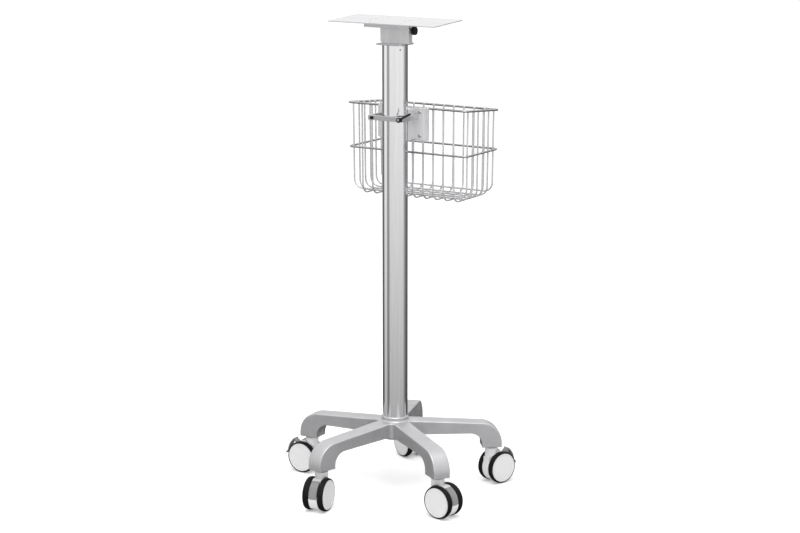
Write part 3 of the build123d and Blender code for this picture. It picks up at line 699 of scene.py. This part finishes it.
def tyreProfile():
    tread = wheel["tyreRadius"] - wheel["crown"]
    shoulder = wheel["shoulder"]
    low, high = wheel["tyreStart"] + shoulder, wheel["tyreEnd"] - shoulder
    middle, half = (low + high) / 2, (high - low) / 2
    spots = [(share, 0.0) for share in wheel["crownSpots"]]
    for groove in wheel["grooves"]:
        spots += [
            (groove - wheel["grooveHalf"], 0.0),
            (groove, wheel["grooveDepth"]),
            (groove + wheel["grooveHalf"], 0.0),
        ]
    crown = [
        (tread + wheel["crown"] * (1 - share**2) - cut, middle + half * share)
        for share, cut in sorted(spots)
    ]
    return (
        [(wheel["discRadius"], wheel["tyreStart"])]
        + arc((tread - shoulder, low), shoulder, -90, 0, wheel["shoulderSteps"])
        + crown
        + arc((tread - shoulder, high), shoulder, 0, 90, wheel["shoulderSteps"])
        + [(wheel["capRadius"], wheel["capStep"]), (wheel["discRadius"], wheel["capStep"])]
    )


def wheelProfile():
    lip = wheel["lipRadius"]
    lipMiddle = (wheel["capRadius"] - lip, wheel["outer"] - lip)
    face, edge = wheel["capFace"], wheel["faceRadius"]
    return (
        [(0, face), (edge, face + wheel["faceRise"])]
        + [(edge + wheel["seamBottom"], face - wheel["seamDepth"])]
        + [(edge + wheel["seamWidth"], face)]
        + arc(lipMiddle, lip, wheel["lipStart"], 0, wheel["lipSteps"])
        + [(wheel["capRadius"], wheel["capStep"]), (wheel["discRadius"], wheel["capStep"])]
        + [(wheel["discRadius"], wheel["inner"]), (wheel["axleRadius"], wheel["inner"])]
        + [(wheel["axleRadius"], wheel["axleEnd"]), (0, wheel["axleEnd"])]
    )


def makeWheels(place):
    spin = joints[f"{place}_wheel_spin"]
    side = Vector(spin["axis"])
    turn = Matrix.Translation(spin["pos_m"]) @ side.to_track_quat("Z", "Y").to_matrix().to_4x4()
    kinds = (
        ("tyres", tyreProfile(), "tyreRubber", "tyre_rubber"),
        ("wheels", wheelProfile(), "paleCap", "light_plastic"),
    )
    for kind, profile, finish, slotName in kinds:
        bm = bmesh.new()
        for mirror in (1, -1):
            turned(bm, [(radius, mirror * along) for radius, along in profile], wheel["steps"])
        node = f"{place}_caster_{kind}"
        finishedPiece(f"{place}_{kind}_fine", bm, turn, finish, f"{place}_wheels", [node])


for place in wheelPlaces:
    makeWheels(place)
print("wheels and tyres made")

knob = {
    "ribs": 18,
    "ribDepth": 0.0007,
    "stepsPerRib": 8,
    "rounding": 0.0014,
    "roundSteps": 4,
    "dish": 0.0006,
    "dishShare": 0.62,
}


def makeKnob():
    low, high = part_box("clamp_knob")
    length, radius = high.x - low.x, (high.z - low.z) / 2
    count = knob["ribs"] * knob["stepsPerRib"]

    def loop(along, outer, depth):
        points = []
        for i in range(count):
            around = 2 * math.pi * i / count
            rib = depth * (0.5 - 0.5 * math.cos(knob["ribs"] * around))
            points.append(((outer - rib) * math.cos(around), (outer - rib) * math.sin(around), along))
        return points

    rounding = knob["rounding"]
    rise = [math.radians(90 * i / knob["roundSteps"]) for i in range(knob["roundSteps"] + 1)]
    loops = [
        loop(rounding * (1 - math.sin(t)), radius - rounding * (1 - math.cos(t)), knob["ribDepth"])
        for t in reversed(rise)
    ]
    loops += [
        loop(length - rounding * (1 - math.sin(t)), radius - rounding * (1 - math.cos(t)), knob["ribDepth"])
        for t in rise
    ]
    loops.append(loop(length, radius * knob["dishShare"], 0))
    loops.append(loop(length - knob["dish"], radius * knob["dishShare"] - knob["dish"], 0))
    bm = bmesh.new()
    stacked(bm, loops)
    place = Vector(joints["knob_turn"]["pos_m"])
    place.x = low.x
    turn = Matrix.Translation(place) @ Vector((1, 0, 0)).to_track_quat("Z", "Y").to_matrix().to_4x4()
    finishedPiece("knob_fine", bm, turn, "darkPlastic", "knob", ["clamp_knob"])


lever = {
    "angle": 28.0,
    "hubRadius": 0.0052,
    "bore": 0.0030,
    "hubRound": 0.0010,
    "hubSteps": 4,
    "armMiddle": 0.0050,
    "sections": [  # distance from the stud, half width, half thickness
        (0.0036, 0.0026, 0.0024),
        (0.0060, 0.0024, 0.0023),
        (0.0140, 0.0019, 0.0019),
        (0.0240, 0.0021, 0.0019),
        (0.0295, 0.0024, 0.0020),
        (0.0316, 0.0020, 0.0017),
        (0.0327, 0.0012, 0.0011),
        (0.0330, 0.0005, 0.0005),
    ],
    "around": 24,
    "squareness": 0.6,
    "steps": 64,
}


def squared(value):
    return math.copysign(abs(value) ** lever["squareness"], value)


def makeLever():
    low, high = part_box("clamp_lever")
    length = high.y - low.y
    corner = lever["hubRound"]
    rim = lever["hubRadius"] - corner
    bm = bmesh.new()
    profile = [(lever["bore"], 0), (lever["hubRadius"], 0)]
    profile += arc((rim, length - corner), corner, 0, 90, lever["hubSteps"])
    profile += [(lever["bore"], length)]
    turned(bm, profile, lever["steps"])
    direction = math.radians(lever["angle"])
    away = Vector((math.cos(direction), math.sin(direction), 0))
    across = Vector((-away.y, away.x, 0))
    loops = []
    for distance, halfWidth, halfThick in lever["sections"]:
        middle = away * distance
        middle.z = lever["armMiddle"]
        loop = []
        for i in range(lever["around"]):
            around = 2 * math.pi * i / lever["around"]
            offset = across * halfWidth * squared(math.cos(around))
            offset.z = halfThick * squared(math.sin(around))
            loop.append(middle + offset)
        loops.append(loop)
    stacked(bm, loops)
    place = Vector(joints["lever_turn"]["pos_m"])
    turn = Matrix(((1, 0, 0, place.x), (0, 0, -1, high.y), (0, 1, 0, place.z), (0, 0, 0, 1)))
    finishedPiece("lever_fine", bm, turn, "darkPlastic", "lever", ["clamp_lever"])


makeKnob()
makeLever()
print("knob and lever made")

basket = {
    "thinWire": 0.0018,
    "ringWire": 0.00225,
    "rimWire": 0.0025,
    "crossPitch": 0.0254,
    "crossCount": 10,
    "longPitch": 0.0220,
    "longCount": 6,
    "bend": 0.0200,
    "floorInset": 0.0012,
    "beadRadius": 0.0020,
    "beadSubdivisions": 2,
}


def beadSpots():
    ringLow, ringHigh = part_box("basket_ring")
    rimLow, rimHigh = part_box("basket_rim")
    crossLow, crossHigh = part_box("basket_cross_wires")
    middle = (ringLow + ringHigh) / 2
    thin, rimWire = basket["thinWire"], basket["rimWire"]
    ringInset, rimInset = 2 * basket["ringWire"], 2 * rimWire
    rimFall = (rimHigh.z - rimLow.z - 2 * rimWire) / (rimHigh.y - rimLow.y - 2 * rimWire)
    flatHalf = (crossHigh.y - crossLow.y) / 2 - thin - basket["bend"] - basket["floorInset"]
    acrossX = [
        middle.x + basket["crossPitch"] * (i - (basket["crossCount"] - 1) / 2)
        for i in range(basket["crossCount"])
    ]
    alongY = [
        middle.y + basket["longPitch"] * (i - (basket["longCount"] - 1) / 2)
        for i in range(basket["longCount"])
    ]

    def rimHeight(y):
        return rimHigh.z - rimWire - rimFall * (y - rimLow.y - rimWire)

    spots = []
    for x in acrossX:
        for y in (rimLow.y + rimInset, rimHigh.y - rimInset):
            spots.append((x, y, rimHeight(y)))
        for y in (ringLow.y + ringInset, ringHigh.y - ringInset):
            spots.append((x, y, middle.z))
    for y in alongY:
        for x in (rimLow.x + rimInset, rimHigh.x - rimInset):
            spots.append((x, y, rimHeight(y)))
        for x in (ringLow.x + ringInset, ringHigh.x - ringInset):
            spots.append((x, y, middle.z))
        intoBend = max(0, abs(y - middle.y) - flatHalf)
        contact = basket["bend"] - thin
        floorZ = crossLow.z + thin + basket["bend"] - math.sqrt(contact**2 - intoBend**2)
        spots += [(x, y, floorZ) for x in acrossX]
    return spots


def makeBeads():
    bm = bmesh.new()
    spots = beadSpots()
    for spot in spots:
        bead = bmesh.ops.create_icosphere(
            bm, subdivisions=basket["beadSubdivisions"], radius=basket["beadRadius"]
        )
        bmesh.ops.translate(bm, verts=bead["verts"], vec=spot)
    finishedPiece("weld_beads", bm, Matrix.Identity(4), "brightWire", "basket")
    print("weld beads made:", len(spots))


makeBeads()
